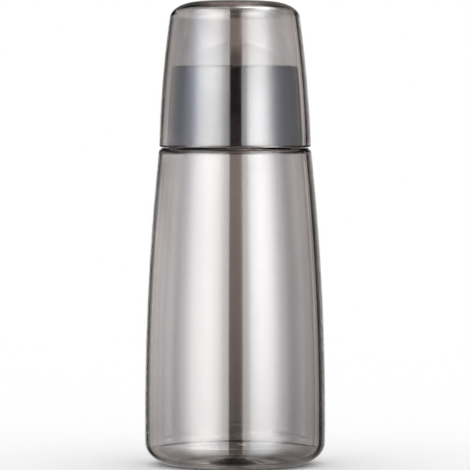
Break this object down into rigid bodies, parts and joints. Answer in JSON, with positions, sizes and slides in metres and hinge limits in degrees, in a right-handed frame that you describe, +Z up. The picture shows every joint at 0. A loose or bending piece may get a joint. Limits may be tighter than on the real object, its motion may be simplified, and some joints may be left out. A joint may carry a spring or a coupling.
{
  "type": "bedside carafe with tumbler",
  "caption": "Smoked glass bedside carafe with a rounded heel, a ledge shoulder and an open neck, closed by an upturned tumbler that lifts off to drink from.",
  "frame": {"origin": "centre of the carafe's foot, on the surface that it stands on", "axes": "+Z up along the axis that both pieces are turned about, X and Y level"},
  "size_m": [0.095, 0.095, 0.2436],
  "materials": {
    "carafe_glass": "smoked glass with a mirror lustre, polished",
    "tumbler_glass": "smoked glass with a mirror lustre, polished"
  },
  "bodies": {
    "carafe": {"carafe": "carafe_glass"},
    "tumbler": {"tumbler": "tumbler_glass"}
  },
  "joints": [
    {"name": "tumbler_lift", "type": "slide", "parent": "carafe", "child": "tumbler", "axis": [0, 0, 1], "range_m": [0, 0.06]}
  ]
}
